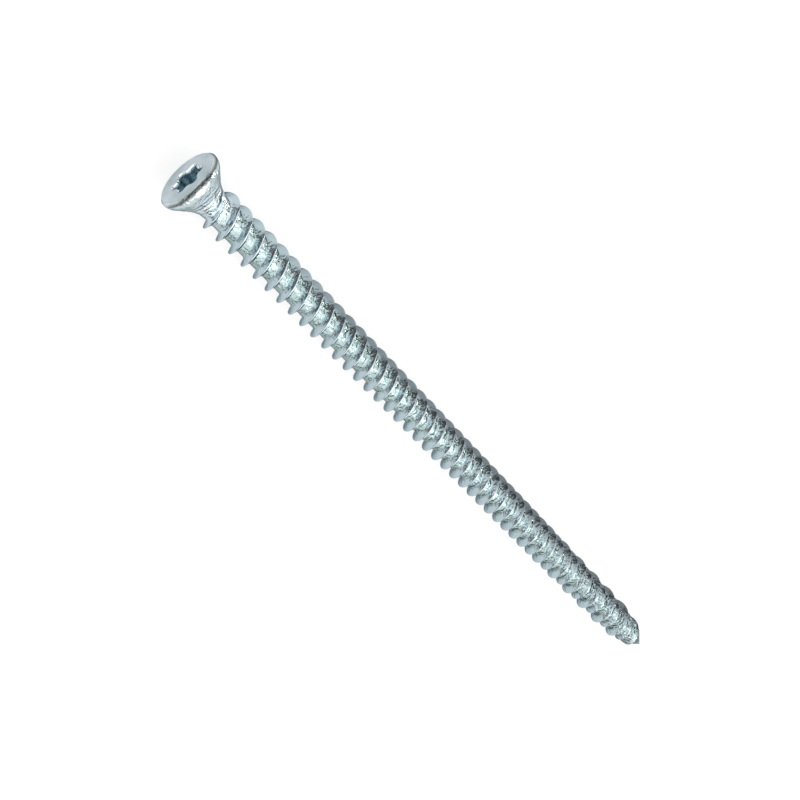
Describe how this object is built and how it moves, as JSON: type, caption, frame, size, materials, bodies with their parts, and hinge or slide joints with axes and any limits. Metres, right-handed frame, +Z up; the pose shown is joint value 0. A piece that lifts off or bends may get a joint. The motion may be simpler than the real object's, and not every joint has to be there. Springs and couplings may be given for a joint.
{
  "type": "concrete screw",
  "caption": "Zinc-plated concrete screw with a countersunk head, a lobed drive recess, a coarse thread along the whole shank and a sharp point, for fixing frames to masonry.",
  "frame": {"origin": "on the ground under the middle of the lying screw", "axes": "+X along the screw from head to tip, +Z up, with the screw lying on its rim and thread"},
  "size_m": [0.152, 0.0112, 0.0112],
  "materials": {
    "zinc_plate": "bright blue-white zinc plating on steel"
  },
  "bodies": {
    "root": {"screw": "zinc_plate"}
  },
  "joints": []
}
